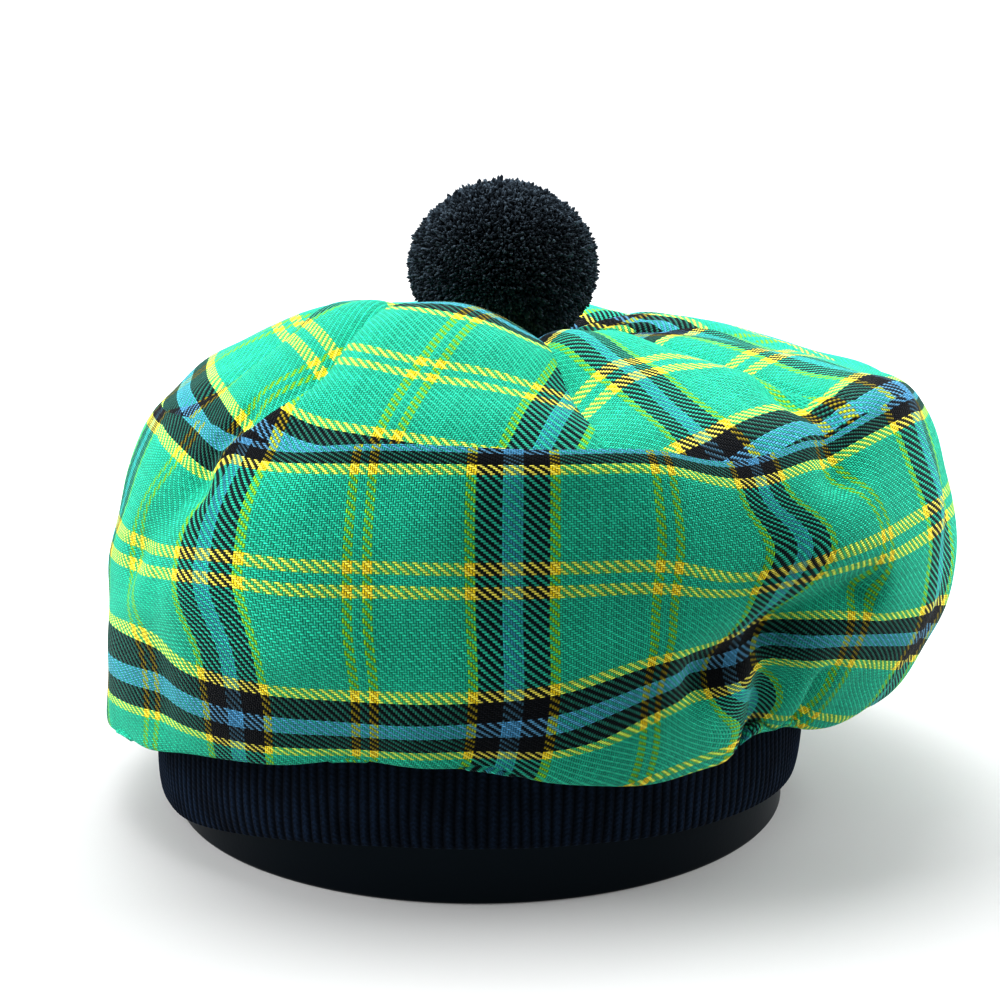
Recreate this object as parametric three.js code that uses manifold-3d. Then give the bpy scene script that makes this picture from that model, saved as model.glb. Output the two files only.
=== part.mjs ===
import * as THREE from 'three';
import Module from 'manifold-3d';

// A tam o shanter on a plain display ring. Millimetres, +Z up, the front towards -Y.
// The floor is at zero height, and the origin is under the middle of the crown.

// Display ring and headband
const ringCentre = { x: -15.5, y: -8 };
const ringRadius = 90.5;
const ringWall = 4;
const ringHeight = 30;
const ringEdge = 1.2;
const ringSegments = 48;
const fitGap = 0.3;
const bandInnerRadius = ringRadius + fitGap;
const bandOuterRadius = 95;
const bandHeight = 30;
const bandBulge = 0.7;

// Crown cloth
const clothThickness = 2;
const footThickness = 1.2;
const wedgeCount = 8;
const firstSeam = -37;
const columnsPerWedge = 10;
const hemReach = 1.2;
const apex = { x: -8.5, y: 0, z: 130 };
const dimpleRadius = 13;
const dimpleRise = 0.8;
const seamDepth = 4.5;
const seamWidth = 5.5;
const wedgePuff = 0.3;
const gatherDepth = 0.9;

// Pompom
const pompomRadius = 27.2;
const pompomHalfHeight = 24.4;
const pompomLift = 25;
const headShare = 0.92;
const lockCount = 72;
const lockBase = 4.6;
const lockTip = 3.2;
const lockSides = 5;
const tieRadius = 3;

// Lower edge of the headband: it droops on one side and rides up in front.
const bandEdgeColumns = ['azimuth', 'height'];
const bandEdge = table(bandEdgeColumns, [
  [-130, 4],
  [-90, 1.5],
  [-60, 6],
  [-30, 14],
  [0, 17],
  [45, 14],
  [90, 10],
  [150, 8],
]);

// One row for each section through the crown. Azimuth 0 is the front, and 90 is the +X side. The foot is
// the lowest fold of the side, the belly its widest line, the ridge the turn onto the top, and the crest the
// rim of the dimple under the pompom. Each has its distance from the crown's axis and its height.
const sectionColumns = [
  'azimuth', 'footR', 'footZ', 'bellyR', 'bellyZ', 'ridgeR', 'ridgeZ', 'crestR', 'crestZ',
];
const sections = table(sectionColumns, [
  [-150, 114, 32, 124, 72, 112, 118, 60, 137],
  [-105, 120, 29, 125, 67, 111, 116, 54, 141],
  [-75, 122, 27, 125, 66, 109, 118, 52, 145],
  [-56, 119, 32, 126, 74, 108, 121, 56, 148],
  [-37, 115, 38, 126, 80, 113, 121, 62, 151],
  [-15, 111, 43, 122, 84, 117, 125, 66, 151],
  [4, 112, 40, 120, 84, 118, 126, 66, 147],
  [15, 113, 38, 119, 84, 117, 125, 62, 145],
  [26, 110, 39, 119, 87, 114, 119, 56, 142],
  [40, 105, 41, 124, 88, 111, 121, 52, 139],
  [60, 109, 37, 126, 82, 112, 125, 50, 137],
  [82, 110, 34, 125, 78, 112, 121, 50, 136],
  [120, 112, 36, 124, 78, 112, 118, 54, 136],
  [165, 114, 38, 123, 78, 112, 118, 60, 136],
]);

// Stations along a section, from the hem in the headband over the ridge to the apex.
const station = {
  hem: 0, hemEdge: 1, tuck: 2, foot: 3, lowSide: 4, belly: 5, highSide: 6,
  ridgeFront: 7, ridgeBack: 8, slope: 9, crest: 10, dimpleWall: 11, dimpleFloor: 12, apex: 13,
};
const rowStations = [
  0, 1, 1.6, 2.1, 2.6, 3.1, 3.6, 4.2, 4.7, 5.2, 5.8, 6.3, 6.7, 7.1, 7.5, 8, 8.6, 9.3, 10, 10.6, 11.3, 12,
];

// Folds pressed into the cloth, each between two places. A negative depth stands proud.
const foldColumns = ['azimuth', 'station', 'endAzimuth', 'endStation', 'halfWidth', 'depth'];
const folds = table(foldColumns, [
  [43, 4.8, 20, 4.3, 5, 7],
  [31, 4.2, 35, 2.9, 7.5, 7],
  [41, 3.8, 43, 2.8, 3.5, 4],
  [8, 8.9, 8, 8.2, 26, 3.5],
  [48, 8.7, 42, 6.5, 8, 4.5],
  [66, 7.9, 64, 7.5, 13, -2.5],
  [-45, 8.2, -51, 6.5, 5, 2.5],
  [-49, 6.3, -63, 5.5, 6, 3],
  [-53, 5.3, -55, 3.8, 9, 2],
  [72, 5.6, 66, 3.6, 18, 3],
]);

// Length of cloth in a degree round the side, and between two stations.
const clothPerDegree = 2.1;
const clothPerStation = 20;

function table(columns, rows) {
  return rows.map((row) => Object.fromEntries(columns.map((name, i) => [name, row[i]])));
}

function radians(degrees) {
  return THREE.MathUtils.degToRad(degrees);
}

function mix(a, b, share) {
  return a * (1 - share) + b * share;
}

// Signed difference between two azimuths, from -180 to 180.
function turnBetween(a, b) {
  return THREE.MathUtils.euclideanModulo(a - b + 180, 360) - 180;
}

// Smooth closed curve through a table's rows, as a cubic between neighbours with the slope of the chord
// across each row.
function around(rows, columns, azimuth) {
  const count = rows.length;
  const at = THREE.MathUtils.euclideanModulo(azimuth - rows[0].azimuth, 360) + rows[0].azimuth;
  let k = count - 1;
  while (rows[k].azimuth > at) k -= 1;
  const pick = (i) => {
    const row = rows[(i + count) % count];
    const shift = 360 * Math.floor(i / count);
    return { ...row, azimuth: row.azimuth + shift };
  };
  const [before, low, high, after] = [pick(k - 1), pick(k), pick(k + 1), pick(k + 2)];
  const span = high.azimuth - low.azimuth;
  const t = (at - low.azimuth) / span;
  const values = {};
  for (const name of columns) {
    if (name === 'azimuth') continue;
    const lowSlope = (high[name] - before[name]) / (high.azimuth - before.azimuth);
    const highSlope = (after[name] - low[name]) / (after.azimuth - low.azimuth);
    values[name] = hermite(low[name], high[name], lowSlope * span, highSlope * span, t);
  }
  return values;
}

function hermite(a, b, slopeA, slopeB, t) {
  const t2 = t * t;
  const t3 = t2 * t;
  return (2 * t3 - 3 * t2 + 1) * a + (t3 - 2 * t2 + t) * slopeA
    + (3 * t2 - 2 * t3) * b + (t3 - t2) * slopeB;
}

// The points of one section through the crown. The hem is centred on the ring, the sides on the crown's axis,
// and the dimple on the apex, so the cloth leans over between them.
function sectionPoints(azimuth) {
  const s = around(sections, sectionColumns, azimuth);
  const hemZ = around(bandEdge, bandEdgeColumns, azimuth).height + bandHeight + fitGap;
  const tuckZ = Math.min(hemZ, s.footZ + 6) - 1;
  const rows = [
    [bandInnerRadius + hemReach, hemZ, 1, 0],
    [bandOuterRadius + 2.5, hemZ + 0.8, 0.95, 0],
    [mix(bandOuterRadius, s.footR, 0.55) + 2, tuckZ, 0.55, 0],
    [s.footR, s.footZ, 0.25, 0],
    [mix(s.footR, s.bellyR, 0.5) + 2.5, mix(s.footZ, s.bellyZ, 0.5) - 3, 0, 0],
    [s.bellyR, s.bellyZ, 0, 0],
    [mix(s.bellyR, s.ridgeR, 0.55) + 2.5, mix(s.bellyZ, s.ridgeZ, 0.55), 0, 0],
    [s.ridgeR + 1.2, s.ridgeZ - 4, 0, 0],
    [s.ridgeR - 4.5, s.ridgeZ + 2.2, 0, 0.05],
    [mix(s.ridgeR, s.crestR, 0.4), mix(s.ridgeZ, s.crestZ, 0.45) + 1, 0, 0.3],
    [s.crestR, s.crestZ, 0, 0.6],
    [0.52 * s.crestR, mix(apex.z, s.crestZ, 0.62), 0, 0.8],
    [dimpleRadius, apex.z + dimpleRise, 0, 1],
    [0, apex.z, 0, 1],
  ];
  const a = radians(azimuth);
  return rows.map(([r, z, toRing, toApex]) => new THREE.Vector3(
    toRing * ringCentre.x + toApex * apex.x + r * Math.sin(a),
    toRing * ringCentre.y + toApex * apex.y - r * Math.cos(a),
    z,
  ));
}

// A point along a section, on a cubic spaced by the square root of the distance between stations.
function alongSection(points, at) {
  const last = points.length - 1;
  const step = points.slice(1).map((p, i) => Math.sqrt(p.distanceTo(points[i])) + 1e-6);
  const chord = (i) => points[i + 1].clone().sub(points[i]).divideScalar(step[i]);
  const slope = (i) => {
    if (i === 0) return chord(0);
    if (i === last) return chord(last - 1);
    const share = step[i - 1] / (step[i - 1] + step[i]);
    return chord(i - 1).multiplyScalar(1 - share).add(chord(i).multiplyScalar(share));
  };
  const k = Math.min(Math.floor(at), last - 1);
  const [a, b, sa, sb] = [points[k], points[k + 1], slope(k), slope(k + 1)];
  const blend = (c) => hermite(a[c], b[c], sa[c] * step[k], sb[c] * step[k], at - k);
  return new THREE.Vector3(blend('x'), blend('y'), blend('z'));
}

function ramp(value, from, to) {
  return THREE.MathUtils.smoothstep(value, from, to);
}

// How far the cloth is drawn in at a place: the seams between the wedges with the puff between them, the
// gathers into the headband, and the single folds.
function drawnIn(azimuth, at) {
  const wedge = 360 / wedgeCount;
  const fromSeam = THREE.MathUtils.euclideanModulo(azimuth - firstSeam + wedge / 2, wedge) - wedge / 2;
  const onTop = ramp(at, station.ridgeFront + 0.7, station.slope + 0.3)
    * (1 - ramp(at, station.crest + 0.6, station.dimpleFloor));
  const seam = seamDepth * onTop * (Math.exp(-Math.abs(fromSeam) / seamWidth) - wedgePuff);
  const ripple = 0.6 * Math.cos(radians(17 * azimuth) + 0.7) + 0.4 * Math.cos(radians(23 * azimuth) + 2);
  const nearHem = ramp(at, station.hemEdge, station.tuck)
    * (1 - ramp(at, station.tuck + 0.5, station.lowSide + 0.3));
  let depth = seam + gatherDepth * ripple * nearHem;
  for (const fold of folds) {
    const run = new THREE.Vector2(
      (fold.endAzimuth - fold.azimuth) * clothPerDegree,
      (fold.endStation - fold.station) * clothPerStation,
    );
    const from = new THREE.Vector2(
      turnBetween(azimuth, fold.azimuth) * clothPerDegree,
      (at - fold.station) * clothPerStation,
    );
    const share = THREE.MathUtils.clamp(from.dot(run) / run.lengthSq(), 0, 1);
    const aside = from.sub(run.multiplyScalar(share)).length() / fold.halfWidth;
    depth += fold.depth * Math.exp(-aside * aside);
  }
  return depth;
}

// The cloth's thickness at a station, less where it turns under at the foot.
function clothAt(at) {
  const fromTurn = (at - station.foot + 0.3) / 0.9;
  return mix(clothThickness, footThickness, Math.exp(-fromTurn * fromTurn));
}

// Outward direction at each point of a grid of rows and closed columns.
function gridNormals(grid) {
  const columns = grid[0].length;
  return grid.map((row, i) => row.map((point, j) => {
    const up = grid[Math.min(i + 1, grid.length - 1)][j].clone().sub(grid[Math.max(i - 1, 0)][j]);
    const across = row[(j + 1) % columns].clone().sub(row[(j + columns - 1) % columns]);
    return across.cross(up).normalize();
  }));
}

function moved(grid, directions, distance) {
  return grid.map((row, i) => row.map((p, j) => (
    p.clone().addScaledVector(directions[i][j], distance(i, j))
  )));
}

// A closed mesh from points and a list of triangles.
function solidGeometry(points, triangles) {
  const geometry = new THREE.BufferGeometry();
  geometry.setAttribute('position', new THREE.Float32BufferAttribute(points.flatMap((p) => p.toArray()), 3));
  geometry.setIndex(triangles.flat());
  geometry.computeVertexNormals();
  return geometry;
}

// Two triangles for each cell between neighbouring rows. Columns run round, and rows run up.
function cellTriangles(lowRow, highRow, columns) {
  const triangles = [];
  for (let j = 0; j < columns; j += 1) {
    const next = (j + 1) % columns;
    triangles.push([lowRow + j, lowRow + next, highRow + next]);
    triangles.push([lowRow + j, highRow + next, highRow + j]);
  }
  return triangles;
}

// The crown: an outer and an inner surface of one cloth, joined at the hem and each closed at the apex.
function crownGeometry() {
  const columns = wedgeCount * columnsPerWedge;
  const azimuths = Array.from({ length: columns }, (_, j) => firstSeam + (360 * j) / columns);
  const bySection = azimuths.map(sectionPoints);
  const smooth = rowStations.map((at) => bySection.map((points) => alongSection(points, at)));
  const pull = (i, j) => -drawnIn(azimuths[j], rowStations[i]);
  const outer = moved(smooth, gridNormals(smooth), pull);
  const inner = moved(outer, gridNormals(outer), (i) => -clothAt(rowStations[i]));
  const rows = rowStations.length;
  const innerStart = rows * columns;
  const points = [...outer.flat(), ...inner.flat()];
  points.push(new THREE.Vector3(apex.x, apex.y, apex.z));
  points.push(new THREE.Vector3(apex.x, apex.y, apex.z - clothThickness));
  const [outerTip, innerTip] = [points.length - 2, points.length - 1];
  const triangles = [];
  for (let i = 0; i < rows - 1; i += 1) {
    triangles.push(...cellTriangles(i * columns, (i + 1) * columns, columns));
    triangles.push(...cellTriangles(innerStart + (i + 1) * columns, innerStart + i * columns, columns));
  }
  triangles.push(...cellTriangles(innerStart, 0, columns));
  const [outerTop, innerTop] = [(rows - 1) * columns, innerStart + (rows - 1) * columns];
  for (let j = 0; j < columns; j += 1) {
    const next = (j + 1) % columns;
    triangles.push([outerTop + j, outerTop + next, outerTip]);
    triangles.push([innerTop + next, innerTop + j, innerTip]);
  }
  return solidGeometry(points, triangles);
}

// The headband: a soft knitted ring with a slightly bulged outside, on the uneven lower edge.
function headbandGeometry() {
  const columns = wedgeCount * columnsPerWedge;
  const profile = [
    [bandInnerRadius, 0],
    [bandOuterRadius - 0.9, 0],
    [bandOuterRadius, 0.08 * bandHeight],
    [bandOuterRadius + bandBulge, 0.45 * bandHeight],
    [bandOuterRadius + 0.3 * bandBulge, 0.9 * bandHeight],
    [bandOuterRadius - 0.6, bandHeight],
    [bandInnerRadius, bandHeight],
  ];
  const azimuths = Array.from({ length: columns }, (_, j) => (360 * j) / columns);
  const low = azimuths.map((azimuth) => around(bandEdge, bandEdgeColumns, azimuth).height);
  const points = profile.flatMap(([r, z]) => azimuths.map((azimuth, j) => new THREE.Vector3(
    ringCentre.x + r * Math.sin(radians(azimuth)),
    ringCentre.y - r * Math.cos(radians(azimuth)),
    low[j] + z,
  )));
  const triangles = profile.flatMap((_, i) => (
    cellTriangles(i * columns, ((i + 1) % profile.length) * columns, columns)
  ));
  return solidGeometry(points, triangles);
}

// The display ring: a plain upright ring with eased edges, open right through.
function ringGeometry() {
  const inner = ringRadius - ringWall;
  const profile = [
    [inner, 0],
    [ringRadius - ringEdge, 0],
    [ringRadius, ringEdge],
    [ringRadius, ringHeight - ringEdge],
    [ringRadius - ringEdge, ringHeight],
    [inner, ringHeight],
    [inner, 0],
  ].map(([r, z]) => new THREE.Vector2(r, z));
  const geometry = new THREE.LatheGeometry(profile, ringSegments);
  geometry.rotateX(Math.PI / 2);
  geometry.translate(ringCentre.x, ringCentre.y, 0);
  return geometry;
}

// The pompom: short cut locks of yarn standing out from a rounded head, with the tie it is sewn on by.
function pompomGeometry({ Manifold, Mesh }) {
  const middle = new THREE.Vector3(apex.x, apex.y, apex.z + pompomLift);
  const squash = pompomHalfHeight / pompomRadius;
  const head = new THREE.IcosahedronGeometry(pompomRadius * headShare, 2);
  head.scale(1, 1, squash);
  const pieces = [toSolid(head, Manifold, Mesh)];
  const goldenTurn = Math.PI * (3 - Math.sqrt(5));
  for (let i = 0; i < lockCount; i += 1) {
    const height = 1 - (2 * i + 1) / lockCount;
    const side = Math.sqrt(1 - height * height);
    const turn = i * goldenTurn;
    const outward = new THREE.Vector3(side * Math.cos(turn), side * Math.sin(turn), height);
    const lock = lockGeometry(outward, 1 + 0.012 * Math.cos(2.3 * i), i);
    lock.scale(1, 1, squash);
    pieces.push(toSolid(lock, Manifold, Mesh));
  }
  const tieHeight = pompomLift - fitGap;
  const tie = new THREE.CylinderGeometry(tieRadius, tieRadius, tieHeight, 12);
  tie.rotateX(Math.PI / 2);
  tie.translate(0, 0, -tieHeight / 2);
  pieces.push(toSolid(tie, Manifold, Mesh));
  const joined = Manifold.union(pieces);
  const geometry = fromSolid(joined);
  geometry.translate(middle.x, middle.y, middle.z);
  return geometry;
}

// One lock: a short blunt tuft from inside the head out to the pompom's surface.
function lockGeometry(outward, reach, turn) {
  const length = 0.3 * pompomRadius;
  const lock = new THREE.CylinderGeometry(lockTip, lockBase, length, lockSides);
  lock.rotateY(turn);
  const upright = new THREE.Vector3(0, 1, 0);
  lock.applyQuaternion(new THREE.Quaternion().setFromUnitVectors(upright, outward));
  const centre = outward.clone().multiplyScalar(pompomRadius * reach - length / 2);
  lock.translate(centre.x, centre.y, centre.z);
  return lock;
}

function toSolid(geometry, Manifold, Mesh) {
  const position = geometry.getAttribute('position');
  const index = geometry.index ? Array.from(geometry.index.array) : [...Array(position.count).keys()];
  const mesh = new Mesh({
    numProp: 3,
    vertProperties: new Float32Array(position.array),
    triVerts: new Uint32Array(index),
  });
  mesh.merge();
  return new Manifold(mesh);
}

function fromSolid(solid) {
  const mesh = solid.getMesh();
  const geometry = new THREE.BufferGeometry();
  geometry.setAttribute('position', new THREE.Float32BufferAttribute(mesh.vertProperties, 3));
  geometry.setIndex(Array.from(mesh.triVerts));
  geometry.computeVertexNormals();
  return geometry;
}

function piece(name, geometry, colour, roughness) {
  const material = new THREE.MeshStandardMaterial({ color: colour, roughness, metalness: 0 });
  material.name = `${name}_finish`;
  const mesh = new THREE.Mesh(geometry, material);
  mesh.name = name;
  return mesh;
}

const wasm = await Module();
wasm.setup();

const tam = new THREE.Group();
tam.name = 'tam_o_shanter_on_display_ring';
tam.add(piece('crown', crownGeometry(), '#178f62', 0.9));
tam.add(piece('headband', headbandGeometry(), '#0b0d10', 0.95));
tam.add(piece('pompom', pompomGeometry(wasm), '#0c0d10', 1));
tam.add(piece('display_ring', ringGeometry(), '#08090c', 0.45));

export default tam;
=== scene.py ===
import bpy
import numpy as np
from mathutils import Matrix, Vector


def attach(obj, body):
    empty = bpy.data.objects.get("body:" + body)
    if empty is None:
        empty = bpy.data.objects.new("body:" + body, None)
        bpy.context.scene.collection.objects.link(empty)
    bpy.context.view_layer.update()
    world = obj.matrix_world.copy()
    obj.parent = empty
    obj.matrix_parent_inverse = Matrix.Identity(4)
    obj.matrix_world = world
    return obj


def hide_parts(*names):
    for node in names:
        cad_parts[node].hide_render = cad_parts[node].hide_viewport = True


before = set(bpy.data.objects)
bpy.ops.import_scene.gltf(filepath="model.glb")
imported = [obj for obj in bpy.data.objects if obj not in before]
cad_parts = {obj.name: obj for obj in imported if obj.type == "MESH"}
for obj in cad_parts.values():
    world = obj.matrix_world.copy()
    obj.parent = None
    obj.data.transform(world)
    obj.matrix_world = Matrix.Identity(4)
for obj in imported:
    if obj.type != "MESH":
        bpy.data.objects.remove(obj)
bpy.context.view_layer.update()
mm = 0.001  # sizes below are in millimetres, azimuths in degrees from the front (-Y) towards +X
cornerSteps = ((0, 0), (0, 1), (1, 1), (1, 0))  # row and column steps to the corners of a cell, as gridCells has them


# small helpers


# smooth step from 0 at a to 1 at b: f squared times (3 - 2f); b may lie below a
def ramp(x, a, b):
    f = np.clip((np.asarray(x, float) - a) / (b - a), 0, 1)
    return f * f * (3 - 2 * f)


# bell of height 1 at the middle: e to the minus square of (x - middle) over width
def bell(x, middle, width):
    return np.exp(-(((x - middle) / width) ** 2))


# from a at share 0 to b at share 1 in a straight line
def mix(a, b, share):
    return a * (1 - share) + b * share


# cubic from a to b with end slopes sa and sb over one unit of f
def hermite(a, b, sa, sb, f):
    f2, f3 = f * f, f * f * f
    return (2 * f3 - 3 * f2 + 1) * a + (f3 - 2 * f2 + f) * sa + (3 * f2 - 2 * f3) * b + (f3 - f2) * sb


# one column of a table as a closed curve of azimuth: a cubic between rows, its slope at a row that of the chord
# between the rows on either side
def around(table, column, azimuth):
    table = np.asarray(table, float)
    count = len(table)
    at = (azimuth - table[0, 0]) % 360 + table[0, 0]
    k = np.searchsorted(table[:, 0], at, side="right") - 1

    def pick(i):
        return table[i % count, 0] + 360 * (i // count), table[i % count, column]

    (a0, v0), (a1, v1), (a2, v2), (a3, v3) = pick(k - 1), pick(k), pick(k + 1), pick(k + 2)
    gap = a2 - a1
    return hermite(v1, v2, (v2 - v0) / (a2 - a0) * gap, (v3 - v1) / (a3 - a1) * gap, (at - a1) / gap)


# a point at radius r and height z on an azimuth: x is r times sine, y is minus r times cosine
def polar(r, azimuth, z):
    a = np.radians(azimuth)
    r, a, z = np.broadcast_arrays(np.asarray(r, float), a, np.asarray(z, float))
    return np.stack([r * np.sin(a), -r * np.cos(a), z], -1)


# a sum of a few seeded sine waves over two lengths, over the square root of twice their number: about -1 to 1
def softNoise(x, y, waveLength, seed, waves=7):
    rng = np.random.default_rng(seed)
    total = np.zeros(np.broadcast(x, y).shape)
    for turn, phase, stretch in zip(
        rng.uniform(0, np.pi, waves), rng.uniform(0, 2 * np.pi, waves), rng.uniform(0.7, 1.5, waves)
    ):
        reach = 2 * np.pi / (waveLength * stretch)
        total = total + np.sin(reach * (np.cos(turn) * x + np.sin(turn) * y) + phase)
    return total / np.sqrt(2 * waves)


# cells of a grid whose columns run round: each has its low pair of points, then its high pair
def gridCells(rows, columns, start=0, closed=False):
    i, j = np.meshgrid(np.arange(rows if closed else rows - 1), np.arange(columns), indexing="ij")
    nextRow, nextColumn = (i + 1) % rows, (j + 1) % columns
    cells = [i * columns + j, i * columns + nextColumn, nextRow * columns + nextColumn, nextRow * columns + j]
    return start + np.stack(cells, -1).reshape(-1, 4)


# outward direction on a grid: the step along the columns crossed with the step up the rows
def gridNormals(grid):
    across = np.roll(grid, -1, 1) - np.roll(grid, 1, 1)
    up = np.concatenate([grid[1:2] - grid[:1], grid[2:] - grid[:-2], grid[-1:] - grid[-2:-1]])
    normal = np.cross(across, up)
    return normal / np.maximum(np.linalg.norm(normal, axis=-1, keepdims=True), 1e-9)


# points in millimetres, four-cornered and then three-cornered faces, into one smooth mesh at the origin
def makePiece(name, points, quads, tris=None, quadUv=None, triUv=None, tone=None):
    quads = np.asarray(quads, np.int32).reshape(-1, 4)
    tris = np.zeros((0, 3), np.int32) if tris is None else np.asarray(tris, np.int32).reshape(-1, 3)
    starts = np.concatenate([np.arange(len(quads)) * 4, len(quads) * 4 + np.arange(len(tris)) * 3])
    mesh = bpy.data.meshes.new(name)
    mesh.vertices.add(len(points))
    mesh.vertices.foreach_set("co", (np.asarray(points, float) * mm).ravel())
    mesh.loops.add(quads.size + tris.size)
    mesh.loops.foreach_set("vertex_index", np.concatenate([quads.ravel(), tris.ravel()]))
    mesh.polygons.add(len(starts))
    mesh.polygons.foreach_set("loop_start", starts.astype(np.int32))
    mesh.update(calc_edges=True)
    mesh.polygons.foreach_set("use_smooth", np.ones(len(starts), bool))
    if quadUv is not None:
        corners = [quadUv.reshape(-1, 2)] + ([] if triUv is None else [triUv.reshape(-1, 2)])
        mesh.uv_layers.new(name="cloth").uv.foreach_set("vector", np.concatenate(corners).ravel())
    if tone is not None:
        mesh.attributes.new("tone", "FLOAT", "POINT").data.foreach_set("value", tone)
    mesh.validate()
    piece = bpy.data.objects.new(name, mesh)
    bpy.context.scene.collection.objects.link(piece)
    print(name, "faces:", len(quads) * 2 + len(tris))
    return piece


# a hex code to linear light: the foot of the curve is straight, the rest a power of 2.4
def colour(code):
    srgb = np.array([int(code[i : i + 2], 16) for i in (1, 3, 5)]) / 255
    line = np.where(srgb <= 0.04045, srgb / 12.92, ((srgb + 0.055) / 1.055) ** 2.4)
    return (*line, 1.0)


# shader helpers


# the shader values that every yarn here shares
def woolShader(c):
    return dict(
        Roughness=c["roughness"], Specular_IOR_Level=c["specular"],
        Sheen_Weight=c["sheen"], Sheen_Roughness=c["sheenRoughness"],
    )


# a new material and its shader, with fixed values put straight on the shader's sockets
def newFinish(name, **shader):
    finish = bpy.data.materials.new(name)
    finish.use_nodes = True
    tree = finish.node_tree
    body = tree.nodes["Principled BSDF"]
    for socket, value in shader.items():
        body.inputs[socket.replace("_", " ")].default_value = value
    return finish, tree, body


# one node: an input that is a socket is linked, any other is a value
def addNode(tree, kind, inputs=(), **settings):
    node = tree.nodes.new(kind)
    for key, value in settings.items():
        setattr(node, key, value)
    for key, value in dict(inputs).items():
        if isinstance(value, bpy.types.NodeSocket):
            tree.links.new(value, node.inputs[key])
        else:
            node.inputs[key].default_value = value
    return node


# one sum on numbers
def sums(tree, operation, *values):
    return addNode(tree, "ShaderNodeMath", dict(enumerate(values)), operation=operation).outputs[0]


# colour a at share 0, b at share 1
def blendColours(tree, share, a, b):
    return addNode(tree, "ShaderNodeMix", {0: share, 6: a, 7: b}, data_type="RGBA", clamp_factor=True).outputs[2]


# soft noise on the piece's own coordinates
def speckle(tree, spot, scale, detail):
    return addNode(tree, "ShaderNodeTexNoise", {"Vector": spot, "Scale": scale, "Detail": detail}).outputs[0]


# number a at share 0, b at share 1
def pickValue(tree, share, a, b):
    return addNode(tree, "ShaderNodeMix", {0: share, 2: a, 3: b}, data_type="FLOAT").outputs[0]


# 0 to 1 carried to low to high
def span(tree, value, low, high):
    return addNode(tree, "ShaderNodeMapRange", {0: value, 3: low, 4: high}).outputs[0]


# a height, in shares of the distance, as bump on the shader's normal
def bumped(tree, body, height, strength, distance):
    bump = addNode(tree, "ShaderNodeBump", {"Height": height, "Strength": strength, "Distance": distance})
    tree.links.new(bump.outputs[0], body.inputs["Normal"])


# display ring and headband places

ring = dict(centre=(-15.5, -8.0), radius=90.5, wall=4.0, height=30.0, edge=1.2, edgePoints=7, segments=240)

headband = dict(
    inner=90.8, outer=95.0, height=30.0, bulge=0.7, perDegree=1.6,
    ribs=212, columnsPerRib=8, ribDepth=0.75, ribMiddle=0.75, stitch=1.5,
    profilePoints=44, squareOut=0.4, squareUp=0.7, outsideFrom=(-0.2, 0.7),  # powers of the section, its outer part
    ribWander=0.16, wanderWave=22, wanderSeed=11, ripple=0.35, rippleWave=30, rippleSeed=12,
    lowEdge=[(-130, 4), (-90, 1.5), (-60, 6), (-30, 14), (0, 17), (45, 14), (90, 10), (150, 8)],  # azimuth, height
)

# crown

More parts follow.
